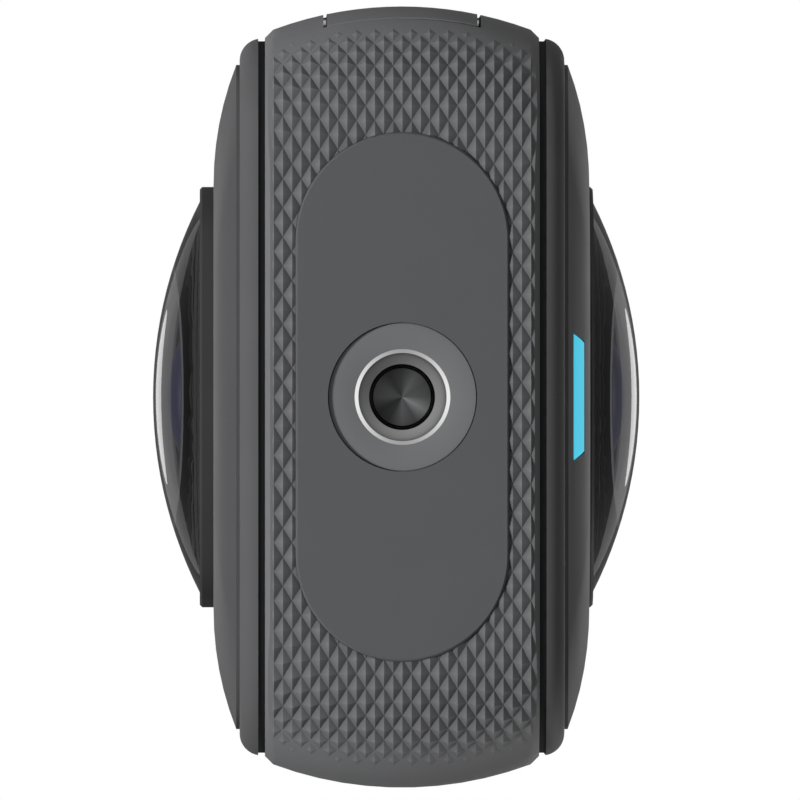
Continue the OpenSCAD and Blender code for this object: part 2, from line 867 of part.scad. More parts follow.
module usb_door_seal() {
    color("black") along_x(door_t - half_w, port_floor_x - 0.05) translate([0, usb_z]) difference() {
        soft_rect(port_y + 2.4, port_h + 2.4, 2);
        soft_rect(port_y + 1, port_h + 1, 1.8);
    }
}

module usb_hinge_pin() {
    color("silver") bar_y(pin_x, door_pin_z, pin_r, -pin_half, pin_half);
}

module usb_port() {
    port_l = 7.3;
    port_r = 1.3;
    shell = 0.35;
    socket = 6.2;
    tongue_t = 0.7;
    tongue_w = 6.7;
    color("silver") difference() {
        along_x(port_x0, port_x0 + port_l) translate([0, usb_z]) soft_rect(port_y, port_h, port_r);
        difference() {
            along_x(port_x0 - 1, port_x0 + socket) translate([0, usb_z])
                soft_rect(port_y - 2 * shell, port_h - 2 * shell, port_r - shell + 0.05);
            span([port_x0 + 0.8, -tongue_t / 2, usb_z - tongue_w / 2],
                [0, tongue_t / 2, usb_z + tongue_w / 2]);
        }
    }
}

module usb_board() {
    usb_board_t = 1;
    color("darkgreen") span([max(port_x0 + 0.6, slip - cav_x), port_y / 2, usb_z - 4.6],
        [bay_x0 - bay_wall - 3.3, port_y / 2 + usb_board_t, usb_z + 6.5]);
}

// Battery

cap_x0 = cav_x + 0.1;
neck_l = 2;
neck_step = 0.6;
bay_wall = 0.45;
bay_fit = 0.15;
flange_t = 0.8;
contact_zs = [for (i = [0:3]) battery_z + 10 + 2.6 * i];

module battery_cuts() {
    side = cap_w / 2 + gap;
    span([cav_x - 1, -side, cap_z0 - gap], [half_w + 1, side, cap_z1 + gap]);
    span([cav_x - 0.5, -bolt_w / 2 - gap, cap_z1],
        [bolt_x1 + slip, bolt_w / 2 + gap, cap_z1 + latch_travel + 2 * gap]);
}

module battery_cell() {
    zc = battery_z + battery_h / 2;
    color([0.2, 0.2, 0.2]) {
        along_x(battery_x0, cap_x0 - neck_l) translate([0, zc]) soft_rect(battery_t, battery_h, 1);
        along_x(cap_x0 - neck_l - root, cap_x0) translate([0, zc])
            soft_rect(battery_t - 2 * neck_step, battery_h - 2 * neck_step, 1);
    }
}

module battery_seal() {
    color("black") along_x(cap_x0 - neck_l + 0.2, cap_x0 - neck_l + 1)
        translate([0, battery_z + battery_h / 2])
        difference() {
            soft_rect(battery_t + 0.2, battery_h + 0.2, 1);
            soft_rect(battery_t - 2 * neck_step, battery_h - 2 * neck_step, 1);
        }
}

module battery_pads() {
    pad_a = 0.9;
    pad_t = 0.15;
    color("gold") for (z = contact_zs)
        span([battery_x0 - pad_t, -pad_a, z - pad_a], [battery_x0, pad_a, z + pad_a]);
}

// Sizes of the latch: a slider outside, a neck and a bolt inside the cap
bolt_w = 3.5;
bolt_x0 = cap_x0 + 0.26;
bolt_x1 = bolt_x0 + 0.5;
pocket_w = 5.2;
pocket_x = half_w - 1.3;
pocket_l = 12;
pocket_z1 = cap_z1 - 3;
slider_l = 9;
slider_z0 = pocket_z1 - pocket_l + gap;
neck_z = slider_z0 + 3.3;
neck_h = 2;
neck_w = 2;

// Flush cap of the battery, with the latch's pocket, slot and channel
module battery_cap() {
    color([0.25, 0.25, 0.26]) difference() {
        intersection() {
            band_solid();
            span([cap_x0, -cap_w / 2, cap_z0], [half_w + 1, cap_w / 2, cap_z1]);
        }
        span([pocket_x, -pocket_w / 2, pocket_z1 - pocket_l], [half_w + 1, pocket_w / 2, pocket_z1]);
        span([bolt_x0, -neck_w / 2 - gap, neck_z - gap],
            [half_w, neck_w / 2 + gap, neck_z + neck_h + latch_travel + gap]);
        span([bolt_x0 - slip, -bolt_w / 2 - 0.15, neck_z - 0.8],
            [bolt_x1 + slip, bolt_w / 2 + 0.15, cap_z1 + 1]);
    }
}

module battery_latch() {
    slider_x1 = half_w - 0.25;
    groove = 0.3;
    groove_pitch = 1.2;
    color([0.16, 0.16, 0.17]) {
        difference() {
            span([pocket_x + slip, gap - pocket_w / 2, slider_z0],
                [slider_x1, pocket_w / 2 - gap, slider_z0 + slider_l]);
            for (i = [-2:2]) translate([0, 0, slider_z0 + slider_l / 2 + groove_pitch * i])
                span([slider_x1 - groove, -pocket_w, -groove], [half_w, pocket_w, groove]);
        }
        span([bolt_x0 + slip, -neck_w / 2, neck_z], [pocket_x + 0.3, neck_w / 2, neck_z + neck_h]);
        span([bolt_x0, -bolt_w / 2, neck_z - 0.5], [bolt_x1, bolt_w / 2, cap_z1 - gap]);
    }
}

// Sleeve that guides the battery, with a flange behind the frame's opening
contact_r = 0.3;
module battery_bay() {
    zc = battery_z + battery_h / 2;
    in_t = battery_t + 2 * bay_fit;
    in_h = battery_h + 2 * bay_fit;
    color([0.2, 0.2, 0.22]) difference() {
        union() {
            along_x(bay_x0 - bay_wall, cav_x) translate([0, zc])
                square([in_t + 2 * bay_wall, in_h + 2 * bay_wall], center = true);
            span([cav_x - flange_t, -half_band + 0.8, cap_z0 - 1], [cav_x, half_band - 0.8, cap_z1 + 1]);
        }
        along_x(bay_x0, cav_x + 1) translate([0, zc]) square([in_t, in_h], center = true);
        for (z = contact_zs) bar_x(0, z, contact_r + slip, bay_x0 - bay_wall - 1, bay_x0 + 1);
        span([bay_x0 - bay_wall - 1, -in_t / 2, card_z - card_slit_h / 2],
            [bay_x0 + slip, 1 - in_t / 2, card_z + card_slit_h / 2]);
    }
}

module contact_block() {
    block_x = bay_x0 - bay_wall;
    block_a = 3.5;
    color([0.1, 0.1, 0.1]) {
        span([block_x - 2.5, -block_a, contact_zs[0] - 2], [block_x, block_a, contact_zs[3] + 2]);
        for (z = contact_zs) bar_x(0, z, contact_r, block_x, battery_x0 - 0.2);
    }
}

// Small parts on the walls

mic_hole_r = 0.5;
module speaker() {
    speaker_a = 3;
    speaker_l = 10;
    color([0.1, 0.1, 0.1]) span([-cav_x, -speaker_a, speaker_z - speaker_l / 2],
        [speaker_a - cav_x, speaker_a, speaker_z + speaker_l / 2]);
}

module microphones() {
    mic_a = 1.5;
    mic_t = 1;
    color("gold") for (s = [0, 1]) mirror([s, 0, 0])
        span([cav_x - mic_t, -mic_a, mic_z - mic_a], [cav_x, mic_a, mic_z + mic_a]);
}

module antenna() {
    antenna_l = 24;
    antenna_w = 8;
    antenna_t = 0.6;
    color("gold") span([-antenna_l / 2, -antenna_w / 2, cav_z1 - antenna_t],
        [antenna_l / 2, antenna_w / 2, cav_z1]);
}

mid_frame();
front_shell();
rear_shell();
front_cover();
rear_cover();
front_seal();
rear_seal();
shell_screws();
base_plate();
tripod_socket();
socket_plate();
socket_screws();
front_lens_ring();
rear_lens_ring();
front_lens_dome();
rear_lens_dome();
front_lens_barrel();
rear_lens_barrel();
front_lens_element();
rear_lens_element();
front_prism();
rear_prism();
front_relay_lens();
rear_relay_lens();
front_sensor_board();
rear_sensor_board();
lens_carrier();
main_board();
shield_can();
board_screws();
heat_spreader();
card_socket();
display_glass();
display_panel();
light_guide();
led_board();
shutter_button();
shutter_clip();
shutter_switch();
power_button();
power_switch();
usb_port();
usb_board();
usb_door();
usb_door_seal();
usb_hinge_pin();
battery_cell();
battery_cap();
battery_seal();
battery_pads();
battery_latch();
battery_bay();
contact_block();
speaker();
microphones();
antenna();
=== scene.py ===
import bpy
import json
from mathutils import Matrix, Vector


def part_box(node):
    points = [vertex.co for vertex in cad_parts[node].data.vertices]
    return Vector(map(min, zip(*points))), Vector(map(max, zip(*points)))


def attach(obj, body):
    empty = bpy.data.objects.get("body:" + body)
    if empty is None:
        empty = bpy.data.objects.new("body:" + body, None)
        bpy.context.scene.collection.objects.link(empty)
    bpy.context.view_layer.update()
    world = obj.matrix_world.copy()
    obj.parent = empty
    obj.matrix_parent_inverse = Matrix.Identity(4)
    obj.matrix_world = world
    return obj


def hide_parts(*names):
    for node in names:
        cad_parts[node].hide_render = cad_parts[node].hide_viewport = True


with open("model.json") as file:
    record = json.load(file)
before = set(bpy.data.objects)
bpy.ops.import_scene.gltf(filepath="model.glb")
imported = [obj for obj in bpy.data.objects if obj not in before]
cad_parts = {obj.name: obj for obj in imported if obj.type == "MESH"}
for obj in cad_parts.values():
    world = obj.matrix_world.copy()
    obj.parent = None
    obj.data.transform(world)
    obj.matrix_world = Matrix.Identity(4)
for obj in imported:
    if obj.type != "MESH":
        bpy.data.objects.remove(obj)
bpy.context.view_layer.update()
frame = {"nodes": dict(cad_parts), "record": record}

import json
import math

import bmesh
import bpy
from mathutils import Matrix, Vector

# Mid frame: the glass-filled nylon ring that carries every other piece, moulded in one shot with its
# bosses and lugs. The mould is spark eroded, so the plastic has a fine satin grain.
MM = 0.001
WELD_DISTANCE = 0.0005 * MM
NODE_CREASE_DEG = 28
MOTTLE_PER_METRE = 260
GLOSS_SWING = 0.12
GRIP_GREY = (0.104, 0.105, 0.108, 1)
GRIP_ROUGHNESS = 0.62
BODY_OF = {node: body for body, nodes in frame["record"]["behaviour"]["bodies"].items() for node in nodes}


def new_group(name, inputs, outputs):
    """An empty shader node group with named sockets, and its input and output nodes."""
    group = bpy.data.node_groups.new(name, "ShaderNodeTree")
    for label, kind in inputs:
        group.interface.new_socket(label, in_out="INPUT", socket_type=kind)
    for label, kind in outputs:
        group.interface.new_socket(label, in_out="OUTPUT", socket_type=kind)
    return group, group.nodes.new("NodeGroupInput"), group.nodes.new("NodeGroupOutput")


def moulded_grain_group():
    """Spark-eroded plastic: a fine grain for the relief, and a faint mottle in tone and gloss."""
    group, given, result = new_group(
        "moulded grain",
        [("Colour", "NodeSocketColor"), ("Roughness", "NodeSocketFloat"),
         ("Grain per metre", "NodeSocketFloat"), ("Mottle", "NodeSocketFloat")],
        [("Colour", "NodeSocketColor"), ("Roughness", "NodeSocketFloat"), ("Height", "NodeSocketFloat")])
    nodes, link = group.nodes, group.links.new
    place = nodes.new("ShaderNodeTexCoord")
    grain = nodes.new("ShaderNodeTexNoise")
    grain.inputs["Detail"].default_value = 2
    link(place.outputs["Object"], grain.inputs["Vector"])
    link(given.outputs["Grain per metre"], grain.inputs["Scale"])
    mottle = nodes.new("ShaderNodeTexNoise")
    mottle.inputs["Scale"].default_value = MOTTLE_PER_METRE
    mottle.inputs["Detail"].default_value = 4
    link(place.outputs["Object"], mottle.inputs["Vector"])
    centred = nodes.new("ShaderNodeMath")
    centred.operation = "SUBTRACT"
    centred.inputs[1].default_value = 0.5
    link(mottle.outputs["Fac"], centred.inputs[0])
    swing = nodes.new("ShaderNodeMath")
    swing.operation = "MULTIPLY_ADD"
    swing.inputs[2].default_value = 1
    link(centred.outputs[0], swing.inputs[0])
    link(given.outputs["Mottle"], swing.inputs[1])
    tone = nodes.new("ShaderNodeVectorMath")
    tone.operation = "SCALE"
    link(given.outputs["Colour"], tone.inputs[0])
    link(swing.outputs[0], tone.inputs["Scale"])
    gloss = nodes.new("ShaderNodeMath")
    gloss.operation = "MULTIPLY_ADD"
    gloss.inputs[1].default_value = GLOSS_SWING
    link(centred.outputs[0], gloss.inputs[0])
    link(given.outputs["Roughness"], gloss.inputs[2])
    link(tone.outputs[0], result.inputs["Colour"])
    link(gloss.outputs[0], result.inputs["Roughness"])
    link(grain.outputs["Fac"], result.inputs["Height"])
    return group


MOULDED_GRAIN = moulded_grain_group()


def moulded(name, colour, roughness, grain_mm=0.16, relief_mm=0.004, mottle=0.25, specular=0.25,
            metallic=0.0):
    """A moulded, cast, plated or anodised finish: one colour under a fine grain."""
    material = bpy.data.materials.new(name)
    material.use_nodes = True
    nodes, link = material.node_tree.nodes, material.node_tree.links.new
    shader = nodes["Principled BSDF"]
    shader.inputs["Specular IOR Level"].default_value = specular
    shader.inputs["Metallic"].default_value = metallic
    grain = nodes.new("ShaderNodeGroup")
    grain.node_tree = MOULDED_GRAIN
    grain.inputs["Colour"].default_value = colour
    grain.inputs["Roughness"].default_value = roughness
    grain.inputs["Grain per metre"].default_value = 1 / (grain_mm * MM)
    grain.inputs["Mottle"].default_value = mottle
    bump = nodes.new("ShaderNodeBump")
    bump.inputs["Distance"].default_value = relief_mm * MM
    link(grain.outputs["Colour"], shader.inputs["Base Color"])
    link(grain.outputs["Roughness"], shader.inputs["Roughness"])
    link(grain.outputs["Height"], bump.inputs["Height"])
    link(bump.outputs["Normal"], shader.inputs["Normal"])
    return material


def in_scene(name, bm, *materials):
    """Turns a finished bmesh into an object of the scene, with its materials in this order."""
    mesh = bpy.data.meshes.new(name)
    bm.to_mesh(mesh)
    bm.free()
    for material in materials:
        mesh.materials.append(material)
    made = bpy.data.objects.new(name, mesh)
    bpy.context.scene.collection.objects.link(made)
    return made


def add_piece(name, bm, node, *materials):
    """A piece that rides with the node's body and stands for it, with the node hidden."""
    piece = in_scene(name, bm, *materials)
    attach(piece, BODY_OF[node])
    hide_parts(node)
    return piece


def shade(bm, crease_deg):
    """Smooth shading with a crease at every edge sharper than the angle."""
    for face in bm.faces:
        face.smooth = True
    for edge in bm.edges:
        edge.smooth = len(edge.link_faces) == 2 and edge.calc_face_angle() < math.radians(crease_deg)


def welded(node, material):
    """A node's own shape with its triangles welded, so that its round faces shade smoothly."""
    bm = bmesh.new()
    bm.from_mesh(frame["nodes"][node].data)
    bmesh.ops.remove_doubles(bm, verts=bm.verts, dist=WELD_DISTANCE)
    shade(bm, NODE_CREASE_DEG)
    piece = add_piece(node + "_finish", bm, node, material)
    if "custom_normal" in piece.data.attributes:
        piece.data.attributes.remove(piece.data.attributes["custom_normal"])
    weighted = piece.modifiers.new("flat faces first", "WEIGHTED_NORMAL")
    weighted.keep_sharp = True
    return piece


grip_plastic = moulded("grip_plastic", GRIP_GREY, GRIP_ROUGHNESS)
welded("mid_frame", grip_plastic)

# Knurl: rows of small pyramids moulded into the grip round the foot, and up round both lower corners
# until they die out below the port door. They stop short of the band's edges and of the foot plate. The
# peaks carry a painted highlight and the valleys a painted shade.
KNURL_ALONG = 1.716 * MM
KNURL_ACROSS = 1.083 * MM
KNURL_HEIGHT = 0.28 * MM
KNURL_LIFT = 0.01 * MM
KNURL_SINK = 0.09 * MM
KNURL_WALL = 0.08 * MM
KNURL_CELLS = 60
BAND_HALF_DEPTH = 8.1 * MM
EDGE_MARGIN = 0.42 * MM
EDGE_ROLL = 0.09 * MM
DOOR_MARGIN = 0.35 * MM
PLATE_GAP = 0.02 * MM
PLATE_CUT_HALF = 1 * MM
BULGE_RADIUS = 21.8 * MM
FOOT_CORNER = 7.5 * MM
FADE_FROM = math.radians(34)
FADE_TO = math.radians(68)
VALLEY_PAINTED_SHADE = 0.72
PEAK_PAINTED_HIGHLIGHT = 1.12
ROUND_STEPS = 96
band_low, band_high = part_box("mid_frame")
plate_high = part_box("base_plate")[1]
knurl_half_depth = BAND_HALF_DEPTH - EDGE_MARGIN
knurl_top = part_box("usb_door")[0].z - DOOR_MARGIN
barrel_axis = band_high.x - BULGE_RADIUS
knurl_reach = barrel_axis + BULGE_RADIUS - FOOT_CORNER + FOOT_CORNER * FADE_TO


def on_band(along, across, height):
    """Lays a flat point on the foot and round its corner. The pyramids fade up the corner and at both
    edges, where the skin sinks into the band."""
    side = math.copysign(1, along)
    corner_start = barrel_axis + math.sqrt((BULGE_RADIUS - FOOT_CORNER) ** 2 - across ** 2)
    turn = max(0, abs(along) - corner_start) / FOOT_CORNER
    fade = min(1, max(0, (FADE_TO - turn) / (FADE_TO - FADE_FROM)))
    inside = min(1, (knurl_half_depth - abs(across)) / EDGE_ROLL)
    smooth_fade = fade * fade * (3 - 2 * fade)
    raised = height * smooth_fade * inside + KNURL_LIFT - KNURL_SINK * (1 - fade * inside)
    if turn == 0:
        return Vector((along, across, band_low.z - raised))
    from_axis = BULGE_RADIUS - FOOT_CORNER + (FOOT_CORNER + raised) * math.sin(turn)
    x = barrel_axis + math.sqrt(from_axis ** 2 - across ** 2)
    return Vector((side * x, across, band_low.z + FOOT_CORNER - (FOOT_CORNER + raised) * math.cos(turn)))


def trim(bm, point, outward):
    """Cuts away what lies beyond a plane."""
    bmesh.ops.bisect_plane(bm, geom=bm.verts[:] + bm.edges[:] + bm.faces[:], plane_co=point,
                           plane_no=outward, clear_outer=True)


def stadium(bm, half_length, half_width, half_height):
    """An upright block with half-round ends, about the origin."""
    bmesh.ops.create_circle(bm, cap_ends=True, segments=ROUND_STEPS, radius=half_width)
    for vert in bm.verts:
        if abs(vert.co.x) > WELD_DISTANCE:
            vert.co.x += math.copysign(half_length - half_width, vert.co.x)
        vert.co.z = -half_height
    grown = bmesh.ops.extrude_face_region(bm, geom=bm.faces[:])["geom"]
    top = [part for part in grown if isinstance(part, bmesh.types.BMVert)]
    bmesh.ops.translate(bm, verts=top, vec=(0, 0, 2 * half_height))
    bmesh.ops.recalc_face_normals(bm, faces=bm.faces)


knurl_plastic = moulded("knurl_plastic", GRIP_GREY, GRIP_ROUGHNESS)
nodes, link = knurl_plastic.node_tree.nodes, knurl_plastic.node_tree.links.new
base_colour = nodes["Principled BSDF"].inputs["Base Color"]
# Painted shade in the knurl's valleys and painted highlight on its peaks, by each point's height.
shade_height = nodes.new("ShaderNodeAttribute")
shade_height.attribute_name = "peak"
painted_shade_and_highlight = nodes.new("ShaderNodeMapRange")
painted_shade_and_highlight.inputs["To Min"].default_value = VALLEY_PAINTED_SHADE
painted_shade_and_highlight.inputs["To Max"].default_value = PEAK_PAINTED_HIGHLIGHT
link(shade_height.outputs["Fac"], painted_shade_and_highlight.inputs["Value"])
shaded_knurl_colour = nodes.new("ShaderNodeVectorMath")
shaded_knurl_colour.operation = "SCALE"
link(base_colour.links[0].from_socket, shaded_knurl_colour.inputs[0])
link(painted_shade_and_highlight.outputs[0], shaded_knurl_colour.inputs["Scale"])
link(shaded_knurl_colour.outputs[0], base_colour)

bm = bmesh.new()
bmesh.ops.create_grid(bm, x_segments=KNURL_CELLS, y_segments=KNURL_CELLS, size=KNURL_CELLS / 2)
bmesh.ops.rotate(bm, verts=bm.verts, cent=(0, 0, 0), matrix=Matrix.Rotation(math.pi / 4, 3, "Z"))
bmesh.ops.scale(bm, verts=bm.verts, vec=(KNURL_ALONG / math.sqrt(2), KNURL_ACROSS / math.sqrt(2), 1))
far_faces = [face for face in bm.faces if abs(face.calc_center_median().x) > knurl_reach + KNURL_ALONG
             or abs(face.calc_center_median().y) > BAND_HALF_DEPTH + KNURL_ACROSS]
bmesh.ops.delete(bm, geom=far_faces, context="FACES")
bmesh.ops.poke(bm, faces=bm.faces, offset=KNURL_HEIGHT, center_mode="MEAN")
for side in (-1, 1):
    trim(bm, (0, side * knurl_half_depth, 0), (0, side, 0))
# Each point's height over the valley, which sets the painted shade and highlight in the knurl's colour.
peak = bm.verts.layers.float.new("peak")
for vert in bm.verts:
    vert[peak] = vert.co.z / KNURL_HEIGHT
    vert.co = on_band(*vert.co)
trim(bm, (0, 0, knurl_top), (0, 0, 1))
bmesh.ops.recalc_face_normals(bm, faces=bm.faces)
bmesh.ops.solidify(bm, geom=bm.faces, thickness=KNURL_WALL)
knurl = in_scene("grip_knurl", bm, knurl_plastic)

bm = bmesh.new()
stadium(bm, plate_high.x + PLATE_GAP, plate_high.y + PLATE_GAP, PLATE_CUT_HALF)
clearance = in_scene("knurl_clearance", bm)
cut = knurl.modifiers.new("room for the foot plate", "BOOLEAN")
cut.operation = "DIFFERENCE"
cut.object = clearance
cut.solver = "EXACT"
trimmed = bpy.data.meshes.new_from_object(knurl.evaluated_get(bpy.context.evaluated_depsgraph_get()))
knurl.modifiers.clear()
knurl.data = trimmed
bpy.data.objects.remove(clearance)
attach(knurl, "camera")

# Foot plate: a smooth moulded stadium glued into a recess in the frame, so that it lies level with the
# peaks of the knurl and the camera stands on it.
foot_plastic = moulded("foot_plastic", (0.066, 0.069, 0.072, 1), 0.6, grain_mm=0.12, relief_mm=0.002,
                       mottle=0.12)
welded("base_plate", foot_plastic)

# Tripod insert: turned from aluminium bar and anodised grey, with a quarter-inch thread. Its mouth is cut
# bright afterwards and carries a painted sheen, its inner step a painted light on one side, and its bottom
# painted reflections in the fans of the facing tool. The outlines are radius and height, and all its sizes
# are in millimetres.
MOUTH_RADIUS = 2.82
MOUTH_DEPTH = 0.4
BORE_END = 5.8
STEP_RADIUS = 1.9
INSERT_OUTLINE = [(MOUTH_RADIUS, 0.25), (4.33, 0.25), (4.39, 0.31), (4.39, 0.86), (3.55, 0.86),
                  (3.55, 8.38), (0, 8.38)]
INSERT_BORE = [(0, 6.62), (1.7, 6.7), (1.76, 6.64), (1.86, 6.3), (1.95, 6.22), (2.5, 6.12),
               (3.08, BORE_END), (3.08, 0.8), (2.64, 0.45), (2.6, 0.34)]
INSERT_STEPS = 128
INSERT_CREASE_DEG = 25
FACING_DOWN = -0.5
THREAD_SECTION = [(3.12, 0.55), (2.6, 0.95), (2.6, 1.1), (3.12, 1.5)]
THREAD_PITCH = 1.27
THREAD_TURNS = 3
THREAD_STEPS = 48
THREAD_CREASE_DEG = 40
PAINTED_FAN_TONES_BY_HOUR = (0.22, 0.5, 0.36, 0.42, 1.0, 0.34, 0.46, 0.15, 0.11, 0.28, 0.26, 0.14, 0.22)
MIX_FLOAT_A, MIX_FLOAT_B = 2, 3
MIX_COLOUR_A, MIX_COLOUR_B, MIX_COLOUR_RESULT = 6, 7, 2


def outline_verts(bm, outline):
    """Points of an outline in the plane of the x axis and the upright axis."""
    return [bm.verts.new((radius * MM, 0, height * MM)) for radius, height in outline]


def painted_sheen_group():
    """A painted sheen for turned metal: a tone that changes with the angle between a direction and the
    radius.
    """
    group, given, result = new_group(
        "painted sheen",
        [("Dim", "NodeSocketColor"), ("Bright", "NodeSocketColor"),
         ("Toward", "NodeSocketVector"), ("Two sided", "NodeSocketFloat")],
        [("Colour", "NodeSocketColor")])
    nodes, link = group.nodes, group.links.new
    place = nodes.new("ShaderNodeTexCoord")
    flat = nodes.new("ShaderNodeVectorMath")
    flat.operation = "MULTIPLY"
    flat.inputs[1].default_value = (1, 1, 0)
    link(place.outputs["Object"], flat.inputs[0])
    radius = nodes.new("ShaderNodeVectorMath")
    radius.operation = "NORMALIZE"
    link(flat.outputs[0], radius.inputs[0])
    along = nodes.new("ShaderNodeVectorMath")
    along.operation = "DOT_PRODUCT"
    link(radius.outputs[0], along.inputs[0])
    link(given.outputs["Toward"], along.inputs[1])
    one_side = nodes.new("ShaderNodeMapRange")
    one_side.inputs["From Min"].default_value = -1
    link(along.outputs["Value"], one_side.inputs["Value"])
    both_sides = nodes.new("ShaderNodeMath")
    both_sides.operation = "MULTIPLY"
    link(along.outputs["Value"], both_sides.inputs[0])
    link(along.outputs["Value"], both_sides.inputs[1])
    share = nodes.new("ShaderNodeMix")
    link(given.outputs["Two sided"], share.inputs[0])
    link(one_side.outputs[0], share.inputs[MIX_FLOAT_A])
    link(both_sides.outputs[0], share.inputs[MIX_FLOAT_B])
    tone = nodes.new("ShaderNodeMix")
    tone.data_type = "RGBA"
    link(share.outputs[0], tone.inputs[0])
    link(given.outputs["Dim"], tone.inputs[MIX_COLOUR_A])
    link(given.outputs["Bright"], tone.inputs[MIX_COLOUR_B])
    link(tone.outputs[MIX_COLOUR_RESULT], result.inputs["Colour"])
    return group


PAINTED_SHEEN = painted_sheen_group()


def bare_metal(name, roughness):
    """A bare metal that still lacks its colour, with its nodes and its link call."""
    material = bpy.data.materials.new(name)
    material.use_nodes = True
    nodes, link = material.node_tree.nodes, material.node_tree.links.new
    nodes["Principled BSDF"].inputs["Metallic"].default_value = 1
    nodes["Principled BSDF"].inputs["Roughness"].default_value = roughness
    return material, nodes, link


def painted_sheen_metal(name, dim, bright, toward, two_sided):
    """Freshly turned metal with a painted sheen that runs from dim to bright round the axis, on one side
    or both.
    """
    material, nodes, link = bare_metal(name, roughness=0.22)
    sheen = nodes.new("ShaderNodeGroup")
    sheen.node_tree = PAINTED_SHEEN
    sheen.inputs["Dim"].default_value = (dim, dim, dim, 1)
    sheen.inputs["Bright"].default_value = (bright, bright, bright, 1)
    sheen.inputs["Toward"].default_value = toward
    sheen.inputs["Two sided"].default_value = two_sided
    link(sheen.outputs["Colour"], nodes["Principled BSDF"].inputs["Base Color"])
    return material


def painted_fans_metal(name, colour):
    """Metal with painted reflections in the fans a facing tool leaves: a tone that changes with the angle
    about the axis.
    """
    material, nodes, link = bare_metal(name, roughness=0.35)
    place = nodes.new("ShaderNodeTexCoord")
    fan = nodes.new("ShaderNodeTexGradient")
    fan.gradient_type = "RADIAL"
    link(place.outputs["Object"], fan.inputs["Vector"])
    tone = nodes.new("ShaderNodeValToRGB")
    stops = tone.color_ramp.elements
    last_hour = len(PAINTED_FAN_TONES_BY_HOUR) - 1
    for hour in range(1, last_hour):
        stops.new(hour / last_hour)
    for stop, value in zip(stops, PAINTED_FAN_TONES_BY_HOUR):
        stop.color = (value, value, value, 1)
    link(fan.outputs["Fac"], tone.inputs["Fac"])
    tinted = nodes.new("ShaderNodeVectorMath")
    tinted.operation = "MULTIPLY"
    tinted.inputs[0].default_value = colour
    link(tone.outputs["Color"], tinted.inputs[1])
    link(tinted.outputs[0], nodes["Principled BSDF"].inputs["Base Color"])
    return material


turned_aluminium = moulded("turned_aluminium", (0.105, 0.108, 0.111, 1), 0.55, grain_mm=0.1,
                           relief_mm=0.001, mottle=0.15, specular=0.4)
# Painted sheen on the mouth, painted light on one side of the step, painted reflections on the bottom.
cut_mouth_painted_sheen = painted_sheen_metal("cut_mouth_painted_sheen", dim=0.36, bright=0.84, toward=(0, 1, 0), two_sided=1)
step_painted_light = painted_sheen_metal("step_painted_light", dim=0.09, bright=0.26, toward=(0.6, -0.8, 0), two_sided=0)
bottom_painted_fans = painted_fans_metal("bottom_painted_fans", (0.25, 0.252, 0.257))

bm = bmesh.new()
rim = outline_verts(bm, INSERT_OUTLINE + INSERT_BORE)
edges = [bm.edges.new(pair) for pair in zip(rim, rim[1:] + rim[:1]) if pair[0].co.x or pair[1].co.x]
bmesh.ops.spin(bm, geom=rim + edges, cent=(0, 0, 0), axis=(0, 0, 1), angle=math.tau, steps=INSERT_STEPS,
               use_merge=True)
bmesh.ops.remove_doubles(bm, verts=bm.verts, dist=WELD_DISTANCE)
bmesh.ops.recalc_face_normals(bm, faces=bm.faces)
shade(bm, INSERT_CREASE_DEG)
# The mouth, the bottom and the step take the materials with painted sheen, painted reflections and painted
# light.
for face in bm.faces:
    middle = face.calc_center_median() / MM
    if face.normal.z > FACING_DOWN:
        continue
    if middle.z < MOUTH_DEPTH and middle.xy.length < MOUTH_RADIUS:
        face.material_index = 1
    elif middle.z > BORE_END:
        face.material_index = 2 if middle.xy.length < STEP_RADIUS else 3
add_piece("tripod_insert", bm, "tripod_socket", turned_aluminium, cut_mouth_painted_sheen, bottom_painted_fans, step_painted_light)

bm = bmesh.new()
ridge = bm.faces.new(outline_verts(bm, THREAD_SECTION))
bmesh.ops.spin(bm, geom=[ridge], cent=(0, 0, 0), axis=(0, 0, 1), angle=math.tau * THREAD_TURNS,
               steps=THREAD_STEPS * THREAD_TURNS, dvec=(0, 0, THREAD_PITCH / THREAD_STEPS * MM))
bmesh.ops.recalc_face_normals(bm, faces=bm.faces)
shade(bm, THREAD_CREASE_DEG)
thread = in_scene("tripod_thread", bm, turned_aluminium)
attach(thread, "camera")

# Steel inside: the plate that clamps the insert, its screws, the shell and board screws, the shutter's
# clip and the hinge pin. All are pressed or turned, and nickel plated.
plated_steel = moulded("plated_steel", (0.5, 0.5, 0.51, 1), 0.35, grain_mm=0.2, relief_mm=0.001,
                       metallic=1.0)
for node in ("socket_plate", "socket_screws", "shell_screws", "board_screws", "shutter_clip",
             "usb_hinge_pin"):
    welded(node, plated_steel)

# Optics inside: a cast carrier holds both lens barrels back to back, and prisms turn the two beams
# sideways through relay lenses to the sensor boards.
GLASS_ROUGHNESS = 0.01
SMEAR_SHARE = 0.2
cast_alloy = moulded("cast_alloy", (0.09, 0.09, 0.092, 1), 0.5, metallic=1.0)
welded("lens_carrier", cast_alloy)


